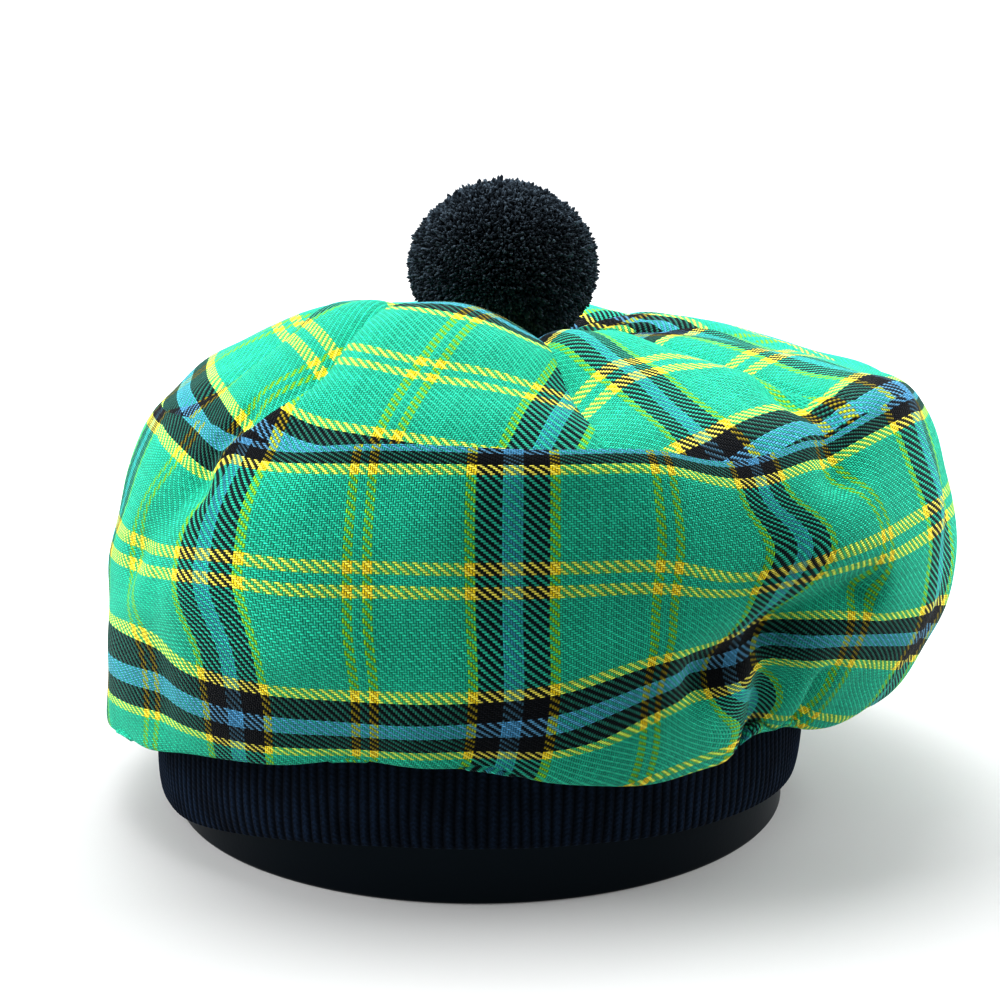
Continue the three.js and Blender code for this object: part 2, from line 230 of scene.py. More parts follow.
crown = dict(
    columns=392, firstSeam=-172, wedges=8, hemReach=1.2, hemGap=0.3, ridge=7.6,
    cloth=2.0, footCloth=0.5, footTurn=2.7, footSpread=0.9,  # thinner about the station where the cloth turns under
    innerFine=4, innerStep=4,  # the inside has every row below a station, and every few above it
    apex=(-8.5, 0.0, 130.0), dimpleRadius=13.0, dimpleRise=0.8,
    seamDepth=4.5, seamWidth=5.5, wedgePuff=0.3, seamsFrom=(7.7, 9.3), seamsTo=(12, 10.6),
    gathers=[(0.6, 17, 0.7), (0.4, 23, 2)],  # share, number round the band, phase
    gatherDepth=0.9, gathersFrom=(1, 2), gathersTo=(4.3, 2.5),
    rippleDepth=0.7, rippleWave=31.0, rippleSeed=5, ripplesFrom=(2, 3.5), ripplesTo=(11.5, 10.5), stillBack=12,
    # seams that lean aside: azimuth, degrees, width, then the stations between which the lean comes and goes
    seamBends=[(-37, -10, 20, 4.3, 6, 7.4, 9.3), (-82, 20, 24, 7.0, 8.4, 9.4, 10.6)],
    perDegree=2.1, perStation=20.0,  # length of cloth in a degree round the side and between stations
    # azimuth, then radius and height of the foot, belly, ridge and crest
    sections=[
        (-150, 114, 32, 124, 72, 112, 118, 60, 137),
        (-105, 120, 29, 125, 67, 111, 116, 54, 141),
        (-75, 122, 27, 125, 66, 109, 118, 52, 145),
        (-56, 119, 32, 126, 74, 108, 121, 56, 148),
        (-37, 115, 38, 126, 80, 113, 121, 62, 151),
        (-15, 111, 43, 122, 84, 117, 125, 66, 151),
        (4, 112, 40, 120, 84, 118, 126, 66, 147),
        (15, 113, 38, 119, 84, 117, 125, 62, 145),
        (26, 110, 39, 119, 87, 114, 119, 56, 142),
        (40, 105, 41, 124, 88, 111, 121, 52, 139),
        (60, 109, 37, 126, 82, 112, 125, 50, 137),
        (82, 110, 34, 125, 78, 112, 121, 50, 136),
        (120, 112, 36, 124, 78, 112, 118, 54, 136),
        (165, 114, 38, 123, 78, 112, 118, 60, 136),
    ],
    # rows of the mesh between the stations hem, hem edge, tuck, foot, low side, belly, high side, ridge front,
    # ridge, ridge back, slope, crest, dimple wall, dimple floor and apex
    stations=(0, 1, 2, 3, 4, 5, 6, 7, 7.6, 8, 9, 10, 11, 12, 13),
    rowsBetween=(4, 10, 12, 17, 17, 17, 14, 7, 5, 17, 20, 16, 11, 8),
    # azimuth and station of one end, then of the other, half width and depth; a negative depth stands proud
    folds=[
        (43, 4.8, 20, 4.3, 5, 7),
        (31, 4.2, 35, 2.9, 7.5, 7),
        (41, 3.8, 43, 2.8, 3.5, 4),
        (8, 8.9, 8, 8.2, 26, 3.5),
        (48, 8.7, 42, 6.5, 8, 4.5),
        (66, 7.9, 64, 7.5, 13, -2.5),
        (-45, 8.2, -51, 6.5, 5, 2.5),
        (-49, 6.3, -63, 5.5, 6, 3),
        (-53, 5.3, -55, 3.8, 9, 2),
        (72, 5.6, 66, 3.6, 18, 3),
    ],
    sett=76.0,  # one repeat of the check
    # how the check lies on the side. Each row of slides: millimetres, then where it is none and where it is full
    sideLay=dict(
        stripe=-3, repeat=36,  # azimuth of the front stripe, degrees in a repeat
        acrossRound=[(18, 12, 42), (-24, 52, 84), (13, 90, 170), (7, -62, -74)],  # by azimuth
        acrossSpots=[(-16, 36, 13, 5.5, 0.7), (17, -60, 13, 5.6, 0.7)],  # bells of azimuth and station
        acrossLow=[(14, 24, 9, 4.8, 4.0), (-21, 29.5, 11, 4.3, 3.5), (7, -42, 10, 4.4, 5.4)],  # bell, then by station
        downFront=[(4.5, 7.6, 6.8), (-3.5, 5.2, 4.2)],  # by station, as the next two
        downLeft=[(7.5, 5.3, 4.7), (-3.5, 4.8, 4.2)],
        downHem=[(5, 3.8, 3.2)],
        pleat=(28, 13, 20, 28, 5.3, 3.9),  # azimuth, width to the left and right, slide, stations
        lean=(-58, -0.4, -7, 5, -2.5, 5.2, 6.9),  # azimuth, slide for each degree, its limits, slide below, stations
        # azimuths between which the front gives way to the left, low and high, with the stations between them
        turnLow=(-36, -60), turnHigh=(-43, -51), turnStations=(6.0, 6.7), leftEnds=(-150, -95),
    ),
    # how the check lies in each wedge of the top, from the back seam round. For across and then for down: its place
    # at the apex, its change with each millimetre aside and outward in the wedge laid flat, its bow to either seam
    wedgeSpread=0.82,
    wedgeLay=[
        (-186, 0.95, -0.32, 0, 0, -112, 0.32, 0.95, 0, 0),
        (-139, 0.9, 0, 0, 0, -112, 0.23, 1.09, 0, 0),
        (-99, 1.15, 0.33, 0, 0, -112, -0.47, 1.01, 0, 0),
        (12.3, 1.05, 0.27, 7, 7, -153, -0.24, 1.15, 14, 14),
        (173, 0.99, -0.07, -6, -6, -109, 0.45, 0.91, -3, -8),
        (207, 0.95, 0.32, 0, 0, -117, -0.32, 0.95, 0, 0),
        (384, 0.95, -0.32, 0, 0, -119, 0.32, 0.95, 0, 0),
        (384, 0.95, 0.32, 0, 0, -112, -0.32, 0.95, 0, 0),
    ],
)


# the points of each section, in shares of the way between its foot, belly, ridge and crest, with the hem on the
# ring's centre, the sides on the crown's axis and the dimple on the apex
def sectionPoints(c, azimuth):
    footR, footZ, bellyR, bellyZ, ridgeR, ridgeZ, crestR, crestZ = (
        around(c["sections"], i, azimuth) for i in range(1, 9)
    )
    hemZ = around(headband["lowEdge"], 1, azimuth) + headband["height"] + c["hemGap"]
    outer, apexZ, still = headband["outer"], c["apex"][2], np.zeros(len(azimuth))
    # radius, height, share of the ring's centre, share of the apex
    rows = [
        (headband["inner"] + c["hemReach"], hemZ, 1, 0),  # hem
        (outer + 2.5, hemZ + 0.8, 0.95, 0),  # hem edge
        (mix(outer, footR, 0.55) + 2, np.minimum(hemZ, footZ + 6) - 1, 0.55, 0),  # tuck
        (footR, footZ, 0.25, 0),  # foot
        (mix(footR, bellyR, 0.5) + 2.5, mix(footZ, bellyZ, 0.5) - 3, 0, 0),  # low side
        (bellyR, bellyZ, 0, 0),  # belly
        (mix(bellyR, ridgeR, 0.55) + 2.5, mix(bellyZ, ridgeZ, 0.55), 0, 0),  # high side
        (ridgeR + 1.2, ridgeZ - 4, 0, 0),  # ridge front
        (ridgeR - 4.5, ridgeZ + 2.2, 0, 0.05),  # ridge back
        (mix(ridgeR, crestR, 0.4), mix(ridgeZ, crestZ, 0.45) + 1, 0, 0.3),  # slope
        (crestR, crestZ, 0, 0.6),  # crest
        (0.52 * crestR, mix(apexZ, crestZ, 0.62), 0, 0.8),  # dimple wall
        (c["dimpleRadius"] + still, apexZ + c["dimpleRise"], 0, 1),  # dimple floor
        (still, apexZ, 0, 1),  # apex
    ]
    ringAt, apexAt = np.array([*ring["centre"], 0]), np.array([*c["apex"][:2], 0])
    return np.stack([polar(r, azimuth, z) + toRing * ringAt + toApex * apexAt for r, z, toRing, toApex in rows])


# cubic through the stations, each step as long as the square root of the distance it covers
def alongSections(points, t):
    gap = np.diff(points, axis=0)
    step = np.sqrt(np.linalg.norm(gap, axis=-1, keepdims=True)) + 1e-6
    chord = gap / step
    share = step[:-1] / (step[:-1] + step[1:])
    slope = np.concatenate([chord[:1], chord[:-1] * (1 - share) + chord[1:] * share, chord[-1:]])
    k = np.minimum(np.floor(t).astype(int), len(gap) - 1)
    f = (t - k)[:, None, None]
    return hermite(points[k], points[k + 1], slope[k] * step[k], slope[k + 1] * step[k], f)


# where each column of the cloth runs: its azimuth, carried aside by a bell beside each seam that leans
def bentColumns(c, azimuth, t):
    for seam, bend, width, none, full, still, gone in c["seamBends"]:
        azimuth = azimuth + bend * bell(azimuth, seam, width) * ramp(t, none, full) * ramp(t, gone, still)
    return azimuth


# how far the cloth is drawn in: wedge seams and the puff between, gathers into the band, single folds, soft ripples
def drawnIn(c, column, azimuth, t, down):
    wedge = 360 / c["wedges"]
    fromSeam = (column - c["firstSeam"] + wedge / 2) % wedge - wedge / 2
    onTop = ramp(t, *c["seamsFrom"]) * ramp(t, *c["seamsTo"])
    depth = c["seamDepth"] * onTop * (np.exp(-np.abs(fromSeam) / c["seamWidth"]) - c["wedgePuff"])
    gather = sum(part * np.cos(number * np.radians(azimuth) + phase) for part, number, phase in c["gathers"])
    depth = depth + c["gatherDepth"] * gather * ramp(t, *c["gathersFrom"]) * ramp(t, *c["gathersTo"])
    for azA, tA, azB, tB, halfWidth, deep in c["folds"]:
        run, rise = (azB - azA) * c["perDegree"], (tB - tA) * c["perStation"]
        x, y = ((azimuth - azA + 180) % 360 - 180) * c["perDegree"], (t - tA) * c["perStation"]
        share = np.clip((x * run + y * rise) / (run**2 + rise**2), 0, 1)
        depth = depth + deep * np.exp(-((x - share * run) ** 2 + (y - share * rise) ** 2) / halfWidth**2)
    fromBack = np.abs((azimuth - c["firstSeam"] + 180) % 360 - 180)
    onCloth = ramp(t, *c["ripplesFrom"]) * ramp(t, *c["ripplesTo"]) * ramp(fromBack, 0, c["stillBack"])
    ripple = softNoise(c["perDegree"] * azimuth, down, c["rippleWave"], c["rippleSeed"])
    return depth + c["rippleDepth"] * onCloth * ripple


# a sum of slides, each coming in on a smooth step
def slides(x, rows):
    return sum(slide * ramp(x, none, full) for slide, none, full in rows)


# where the check lies on the side: millimetres across, at a repeat in so many degrees, and millimetres down from the
# ridge, each with a sum of slides where the cloth is slack
def sideLay(c, azimuth, t, down):
    lay = c["sideLay"]
    across = (1 + (azimuth - lay["stripe"]) / lay["repeat"]) * c["sett"]
    across = across + slides(azimuth, lay["acrossRound"])
    for slide, middle, width, station, spread in lay["acrossSpots"]:
        across = across + slide * bell(azimuth, middle, width) * bell(t, station, spread)
    for slide, middle, width, none, full in lay["acrossLow"]:
        across = across + slide * bell(azimuth, middle, width) * ramp(t, none, full)
    middle, leftWidth, rightWidth, slide, none, full = lay["pleat"]
    pleat = np.exp(-(((azimuth - middle) / np.where(azimuth < middle, leftWidth, rightWidth)) ** 2) / 2)
    front = slides(t, lay["downFront"]) + slide * pleat * ramp(t, none, full)
    middle, perDegree, least, most, lowSlide, none, full = lay["lean"]
    lean = np.clip(perDegree * (azimuth - middle), least, most)
    left = slides(t, lay["downLeft"]) + mix(lowSlide, lean, ramp(t, none, full))
    high = ramp(t, *lay["turnStations"])
    turn = [mix(low, top, high) for low, top in zip(lay["turnLow"], lay["turnHigh"])]
    toLeft = ramp(azimuth, *turn) * ramp(azimuth, *lay["leftEnds"])
    return across, down + mix(front, left, toLeft) + slides(t, lay["downHem"])


# where the check lies on a wedge of the top: polar about the apex, laid flat, then each way of the cloth is a sum of
# its place at the apex, shares of the way aside and outward, and a bow with the square of the way to the seam
def wedgeLay(c, azimuth, axis, lay, fromApex):
    angle = np.radians(c["wedgeSpread"] * (azimuth - axis))
    aside, outward = fromApex * np.sin(angle), fromApex * np.cos(angle)
    off = (azimuth - axis) * c["wedges"] / 180
    return tuple(
        at + perAside * aside + perOut * outward + np.where(off < 0, bowLow, bowHigh) * off**2
        for at, perAside, perOut, bowLow, bowHigh in (lay[:5], lay[5:])
    )


# the crown: rows up each section for the outside, thinner rows for the inside, joined at the hem, closed at the apex
def makeCrown(c):
    columns, stations, between = c["columns"], c["stations"], c["rowsBetween"]
    t = np.concatenate([np.linspace(a, b, n, endpoint=False) for a, b, n in zip(stations, stations[1:], between)])
    t = np.append(t, stations[-1])
    ridgeRow = int(np.argmin(np.abs(t - c["ridge"])))
    azimuth = c["firstSeam"] + 360 * np.arange(columns) / columns
    smooth = alongSections(sectionPoints(c, azimuth), t)
    along = np.cumsum(np.linalg.norm(np.diff(smooth, axis=0), axis=-1), axis=0)
    along = np.concatenate([np.zeros((1, columns)), along])
    bent = bentColumns(c, azimuth[None], t[:, None])
    place = (bent - c["firstSeam"]) / 360 * columns
    before, row = np.floor(place).astype(int), np.arange(len(t))[:, None]

    # values on the straight columns carried to the bent ones, in a line between neighbours
    def carried(grid):
        share = (place - before).reshape(*place.shape, *[1] * (grid.ndim - 2))
        return mix(grid[row, before % columns], grid[row, (before + 1) % columns], share)

    smooth, down, fromApex = carried(smooth), carried(along[ridgeRow] - along), carried(along[-1] - along)
    pulled = drawnIn(c, azimuth[None], bent[:-1], t[:-1, None], down[:-1])
    outer = smooth[:-1] - gridNormals(smooth[:-1]) * pulled[..., None]
    everyRow = np.arange(len(t) - 1)
    fineRows = everyRow[t[:-1] < c["innerFine"]]
    inRows = np.unique(np.concatenate([fineRows, everyRow[:: c["innerStep"]], [ridgeRow, len(t) - 2]]))
    cloth = mix(c["cloth"], c["footCloth"], bell(t[:-1], c["footTurn"], c["footSpread"]))
    inner = (outer - gridNormals(outer) * cloth[:, None, None])[inRows]
    tip = np.array([c["apex"], (c["apex"][0], c["apex"][1], c["apex"][2] - c["cloth"])])
    points = np.concatenate([outer.reshape(-1, 3), inner.reshape(-1, 3), tip])
    outRows, innerStart = len(outer), outer.shape[0] * columns
    outerTip, innerTip = len(points) - 2, len(points) - 1

    # corner places of the check, row by row, with each column's far side closed on the next
    def cornerLay(rows):
        wide = np.concatenate([np.arange(columns), [0]])
        edge = np.concatenate([bent, bent[:, :1] + 360], 1)
        wedgeOf = np.arange(columns) * c["wedges"] // columns
        axis = c["firstSeam"] + (wedgeOf + 0.5) * 360 / c["wedges"]
        lay = np.array(c["wedgeLay"], float)[wedgeOf].T
        result = []
        for rowOf, columnOf in cornerSteps:
            r = rows[rowOf : len(rows) - 1 + rowOf]
            az = edge[r][:, columnOf : columns + columnOf]
            pick = wide[columnOf : columns + columnOf]
            side = sideLay(c, az, t[r][:, None], down[r][:, pick])
            top = wedgeLay(c, az, axis[None], lay[:, None], fromApex[r][:, pick])
            onTop = (t[rows[:-1]] >= c["ridge"] - 1e-6)[:, None]
            result.append(np.stack([np.where(onTop, top[i], side[i]) for i in (0, 1)], -1) / c["sett"])
        return np.stack(result, 2)

    outLay = cornerLay(np.arange(outRows + 1))
    inLay = cornerLay(np.append(inRows, outRows))
    outQuads = gridCells(outRows, columns)
    inQuads = gridCells(len(inRows), columns, innerStart)[:, ::-1]
    j = np.arange(columns)
    k = (j + 1) % columns
    hem = np.stack([innerStart + j, innerStart + k, k, j], -1)
    outTop, inTop = (outRows - 1) * columns, innerStart + (len(inRows) - 1) * columns
    tris = np.concatenate([
        np.stack([outTop + j, outTop + k, np.full(columns, outerTip)], -1),
        np.stack([inTop + k, inTop + j, np.full(columns, innerTip)], -1),
    ])
    quadUv = np.concatenate([
        outLay[:-1].reshape(-1, 4, 2), inLay[:-1].reshape(-1, 4, 2)[:, ::-1], outLay[0][:, [0, 1, 1, 0]],
    ])
    triUv = np.concatenate([outLay[-1][:, :3], inLay[-1][:, [1, 0, 2]]])
    piece = makePiece("crown_cloth", points, np.concatenate([outQuads, inQuads, hem]), tris, quadUv, triUv)
    cell = outer[1:] - outer[:-1]
    area = np.sum(np.linalg.norm(cell, axis=-1) * np.linalg.norm(np.roll(outer, -1, 1) - outer, axis=-1)[:-1])
    print("crown cloth square metres:", round(area * 1e-6, 4))
    return piece


tartan = dict(
    # threads of each dye across one repeat, from the middle of the blue stripe: dye, warp threads, weft threads
    chart=[
        ("blue", 4, 5), ("black", 10, 11), ("yellow", 4, 6), ("green", 36, 38), ("yellow", 4, 6), ("green", 4, 5),
        ("yellow", 4, 6), ("green", 36, 38), ("yellow", 4, 6), ("black", 10, 11), ("blue", 4, 5),
    ],
    # each dye as it looks in the warp and in the weft
    dyes=dict(
        blue=("#569ec6", "#66a4c8"), black=("#0a1018", "#0a1018"),
        yellow=("#ffe028", "#fff470"), green=("#36c8a8", "#3ac8aa"),
    ),
    # gap shade and crest highlight: painted shade in the gaps between thread floats and a painted highlight on their
    # crests
    warpTone=0.84, weftTone=1.12, toneSpread=0.12, gapShade=0.4, crestHighlight=1.32,
    weftThrough=0.32, warpThrough=0.1, underLeast=0.04,  # shares that the under thread gives, and its least light
    fuzzScale=1500.0, fuzzSpread=0.45, patchScale=60.0, patchTone=(0.9, 1.1), fuzzLift=0.5,
    roughness=0.92, specular=0.12, sheen=0.18, sheenRoughness=0.35, bump=0.7, relief=0.0004,
)


# thread numbers come from the UV map; in a 2/2 twill the warp shows where (across - along) modulo 4 is under 2, and
# each float is a lobe: 4x(1 - x) across it, times 1 minus the fourth power of its place along from the middle
def tartanCloth(c):
    finish, tree, body = newFinish("tartan_wool", **woolShader(c))
    place = addNode(tree, "ShaderNodeUVMap", uv_map="cloth").outputs[0]
    split = addNode(tree, "ShaderNodeSeparateXYZ", {0: place})
    dyed, tones, parts, numbers = [], [], [], []
    # warp threads are scaled darker and weft threads lighter: partly the weft showing more, partly painted shade
    # along the twill's diagonal ridges
    for axis, middleTone in ((0, c["warpTone"]), (1, c["weftTone"])):
        threads = sum(row[1 + axis] for row in c["chart"])
        count = sums(tree, "MULTIPLY", split.outputs[axis], threads)
        number = sums(tree, "FLOOR", count)
        middle = sums(tree, "DIVIDE", sums(tree, "ADD", number, 0.5), threads)
        chart = addNode(tree, "ShaderNodeValToRGB", {0: sums(tree, "FRACT", middle)})
        stops = chart.color_ramp
        stops.interpolation = "CONSTANT"
        at = 0
        for i, row in enumerate(c["chart"]):
            stop = stops.elements[i] if i < 2 else stops.elements.new(at / threads)
            stop.position = at / threads
            stop.color = colour(c["dyes"][row[0]][axis])
            at += row[1 + axis]
        dyed.append(chart.outputs[0])
        numbers.append(number)
        parts.append(sums(tree, "FRACT", count))
        seeded = sums(tree, "ADD", number, 700.0 * axis)  # far enough apart for warp and weft to differ
        chance = addNode(tree, "ShaderNodeTexWhiteNoise", {"W": seeded}, noise_dimensions="1D").outputs[0]
        tones.append(span(tree, chance, middleTone - c["toneSpread"], middleTone + c["toneSpread"]))
    order = sums(tree, "FLOORED_MODULO", sums(tree, "SUBTRACT", *numbers), 4.0)
    warpUp = sums(tree, "LESS_THAN", order, 1.5)
    # the thread beneath tints the one on top: both dyes multiplied, each raised to its share
    looks = []
    for axis, share in ((0, c["weftThrough"]), (1, c["warpThrough"])):
        own = addNode(tree, "ShaderNodeGamma", {0: dyed[axis], 1: 1 - share}).outputs[0]
        least = [c["underLeast"]] * 3
        beneath = addNode(tree, "ShaderNodeVectorMath", {0: dyed[1 - axis], 1: least}, operation="MAXIMUM").outputs[0]
        under = addNode(tree, "ShaderNodeGamma", {0: beneath, 1: share}).outputs[0]
        looks.append(addNode(tree, "ShaderNodeVectorMath", {0: own, 1: under}, operation="MULTIPLY").outputs[0])
    dye = blendColours(tree, warpUp, looks[1], looks[0])
    tone = pickValue(tree, warpUp, tones[1], tones[0])
    across = pickValue(tree, warpUp, parts[1], parts[0])
    warpAlong = sums(tree, "SUBTRACT", sums(tree, "ADD", parts[1], 1.0), order)
    weftAlong = sums(tree, "SUBTRACT", sums(tree, "ADD", parts[0], order), 2.0)
    fromMiddle = sums(tree, "SUBTRACT", pickValue(tree, warpUp, weftAlong, warpAlong), 1.0)
    rounded = sums(tree, "MULTIPLY", sums(tree, "MULTIPLY", across, sums(tree, "SUBTRACT", 1.0, across)), 4.0)
    ends = sums(tree, "SUBTRACT", 1.0, sums(tree, "POWER", sums(tree, "ABSOLUTE", fromMiddle), 4.0))
    lobe = sums(tree, "MULTIPLY", rounded, ends)
    spot = addNode(tree, "ShaderNodeTexCoord").outputs["Object"]
    fuzz = speckle(tree, spot, c["fuzzScale"], 3.0)
    patch = speckle(tree, spot, c["patchScale"], 2.0)
    fuzzTone = span(tree, fuzz, 1 - c["fuzzSpread"], 1 + c["fuzzSpread"])
    patchTone = span(tree, patch, *c["patchTone"])
    shade = sums(tree, "MULTIPLY", tone, sums(tree, "MULTIPLY", fuzzTone, patchTone))
    # painted shade and highlight: the colour is scaled from the gap shade at the edges of each float to the crest
    # highlight on its middle
    deep = sums(tree, "MULTIPLY", shade, span(tree, lobe, c["gapShade"], c["crestHighlight"]))
    scaled = addNode(tree, "ShaderNodeVectorMath", {0: dye, 3: deep}, operation="SCALE").outputs[0]
    tree.links.new(scaled, body.inputs["Base Color"])
    lifted = sums(tree, "ADD", lobe, sums(tree, "MULTIPLY", fuzz, c["fuzzLift"]))
    bumped(tree, body, lifted, c["bump"], c["relief"])
    return finish


crownPiece = makeCrown(crown)
crownPiece.data.materials.append(tartanCloth(tartan))
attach(crownPiece, "root")
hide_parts("crown")
print("crown done")


# headband


# a squared-off section, powers of cosine out and of sine up, carried round the ring's centre on the uneven low edge;
# each rib stands out as a half circle does, the square root of 1 minus the square of the way from its middle
def makeHeadband(c):
    columns, rows = c["ribs"] * c["columnsPerRib"], c["profilePoints"]
    azimuth = 360 * np.arange(columns) / columns
    turn = 2 * np.pi * np.arange(rows) / rows
    outward = np.sign(np.cos(turn)) * np.abs(np.cos(turn)) ** c["squareOut"]
    upward = np.sign(np.sin(turn)) * np.abs(np.sin(turn)) ** c["squareUp"]
    high = (0.5 + 0.5 * upward) * c["height"]
    thick = (c["outer"] - c["inner"]) / 2
    outside = ramp(outward, *c["outsideFrom"])
    radius = c["inner"] + thick * (1 + outward) + c["bulge"] * outside * np.sin(np.pi * high / c["height"])
    onKnit = c["perDegree"] * azimuth[None], high[:, None]
    wander = c["ribWander"] * softNoise(*onKnit, c["wanderWave"], c["wanderSeed"])
    ribAt = azimuth[None] / 360 * c["ribs"] + wander
    crestShape = np.sqrt(np.maximum(1 - (2 * (ribAt % 1) - 1) ** 2, 0))
    ripple = c["ripple"] * softNoise(*onKnit, c["rippleWave"], c["rippleSeed"])
    r = radius[:, None] + outside[:, None] * (c["ribDepth"] * (crestShape - c["ribMiddle"]) + ripple)
    z = around(c["lowEdge"], 1, azimuth)[None] + high[:, None]
    points = polar(r, azimuth[None], z) + np.array([*ring["centre"], 0])
    quads = gridCells(rows, columns, closed=True)
    # corner places: ribs round the band with their wander, stitches round the section
    edge = 360 * np.arange(columns + 1) / columns
    closed = np.pad(wander, ((0, 1), (0, 1)), mode="wrap")
    steps = np.hypot(np.diff(np.append(radius, radius[0])), np.diff(np.append(high, high[0])))
    rise = np.insert(np.cumsum(steps), 0, 0)
    lay = []
    for rowOf, columnOf in cornerSteps:
        ribs = edge[columnOf : columns + columnOf][None] / 360 * c["ribs"]
        ribs = ribs + closed[rowOf : rows + rowOf, columnOf : columns + columnOf]
        up = np.broadcast_to(rise[rowOf : rows + rowOf][:, None] / c["stitch"], ribs.shape)
        lay.append(np.stack([ribs, up], -1))
    return makePiece("headband_knit", points.reshape(-1, 3), quads, quadUv=np.stack(lay, 2).reshape(-1, 4, 2))


# light is the colour of the painted highlight on the rib crests
ribKnit = dict(
    yarn="#050b15", light="#1f3147", stitchShare=0.3, slant=1.4, highlightShare=4.0,
    fuzzScale=1400.0, patchScale=90.0, fuzzLift=0.7,
    roughness=0.95, specular=0.1, sheen=0.02, sheenRoughness=0.5, bump=0.4, relief=0.0003,
)


# painted highlight along the middle of each rib, 1 minus twice the way aside from it, blending the yarn to the light
# colour; stitches across as slanted waves, the sine of the row number plus a share of the way aside
def ribKnitYarn(c):
    finish, tree, body = newFinish("rib_knit_wool", **woolShader(c))
    place = addNode(tree, "ShaderNodeUVMap", uv_map="cloth").outputs[0]
    split = addNode(tree, "ShaderNodeSeparateXYZ", {0: place})
    aside = sums(tree, "ABSOLUTE", sums(tree, "SUBTRACT", sums(tree, "FRACT", split.outputs[0]), 0.5))
    slant = sums(tree, "ADD", split.outputs[1], sums(tree, "MULTIPLY", aside, c["slant"]))
    wave = sums(tree, "SINE", sums(tree, "MULTIPLY", slant, 2 * np.pi))
    stitch = span(tree, wave, 0.0, 1.0)
    stitch.node.inputs[1].default_value = -1.0  # from -1 to 1, as a sine has it
    spot = addNode(tree, "ShaderNodeTexCoord").outputs["Object"]
    fuzz = speckle(tree, spot, c["fuzzScale"], 3.0)
    patch = speckle(tree, spot, c["patchScale"], 2.0)
    # painted highlight on each rib's crest, broken by the stitches
    crest = sums(tree, "SUBTRACT", 1.0, sums(tree, "MULTIPLY", aside, 2.0))
    ribHighlight = sums(tree, "MULTIPLY", crest, span(tree, stitch, 1 - c["stitchShare"], 1.0))
    share = sums(tree, "MULTIPLY", sums(tree, "MULTIPLY", ribHighlight, fuzz), sums(tree, "MULTIPLY", patch, c["highlightShare"]))
    tree.links.new(blendColours(tree, share, colour(c["yarn"]), colour(c["light"])), body.inputs["Base Color"])
    lifted = sums(tree, "ADD", stitch, sums(tree, "MULTIPLY", fuzz, c["fuzzLift"]))
    bumped(tree, body, lifted, c["bump"], c["relief"])
    return finish


bandPiece = makeHeadband(headband)
bandPiece.data.materials.append(ribKnitYarn(ribKnit))
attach(bandPiece, "root")
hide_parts("headband")
print("headband done")


# display ring


# a rectangle with its corners eased by quarter circles, carried round the ring's centre
def makeRing(c):
    corner = np.radians(np.linspace(0, 90, c["edgePoints"]))
    half = (c["wall"] / 2, c["height"] / 2)
    x, z = half[0] - c["edge"] * (1 - np.cos(corner)), half[1] - c["edge"] * (1 - np.sin(corner))
    profile = np.concatenate([
        np.stack([x, z], -1), np.stack([-x, z], -1)[::-1], np.stack([-x, -z], -1), np.stack([x, -z], -1)[::-1],
    ])
    azimuth = 360 * np.arange(c["segments"]) / c["segments"]
    r = c["radius"] - half[0] + profile[:, :1]
    points = polar(r, azimuth[None], profile[:, 1:] + half[1]) + np.array([*c["centre"], 0])
    return makePiece("ring_wall", points.reshape(-1, 3), gridCells(len(profile), c["segments"], closed=True))


moulding = dict(
    plastic="#03070d", worn="#060c15", roughness=(0.28, 0.44), specular=0.24, tint=(0.5, 0.78, 1.0, 1.0),
    cloudScale=25.0, skinScale=900.0, bump=0.12, relief=0.0002,
)


# moulded plastic: cloudy colour from soft noise, a fine dimpled skin from small noise
def ringPlastic(c):
    finish, tree, body = newFinish("ring_moulding", Specular_IOR_Level=c["specular"], Specular_Tint=c["tint"])
    spot = addNode(tree, "ShaderNodeTexCoord").outputs["Object"]
    cloud = speckle(tree, spot, c["cloudScale"], 4.0)
    skin = speckle(tree, spot, c["skinScale"], 2.0)
    tree.links.new(blendColours(tree, cloud, colour(c["plastic"]), colour(c["worn"])), body.inputs["Base Color"])
    tree.links.new(span(tree, cloud, *c["roughness"]), body.inputs["Roughness"])
    bumped(tree, body, skin, c["bump"], c["relief"])
    return finish


ringPiece = makeRing(ring)
ringPiece.data.materials.append(ringPlastic(moulding))
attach(ringPiece, "root")
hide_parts("display_ring")
print("display ring done")


# pompom

pompom = dict(
    radius=27.2, halfHeight=24.4, lift=25.0, core=0.88, corePoints=18, coreColumns=40, tieRadius=3.0, tieGap=0.3,
    tufts=20000, sides=3, yarn=0.5, yarnSpread=(0.75, 1.25), tuftFoot=0.94, lean=0.19, jitter=0.006, seed=3,
    girths=((0, 0.8), (0.9, 1.0)),  # share of the tuft's length, share of the yarn's thickness
    uneven=0.010, bulgeWave=24, bulgeSeed=21, bulgeScale=(20, 20, 13), peak=0.5, peakWidth=0.12,
)


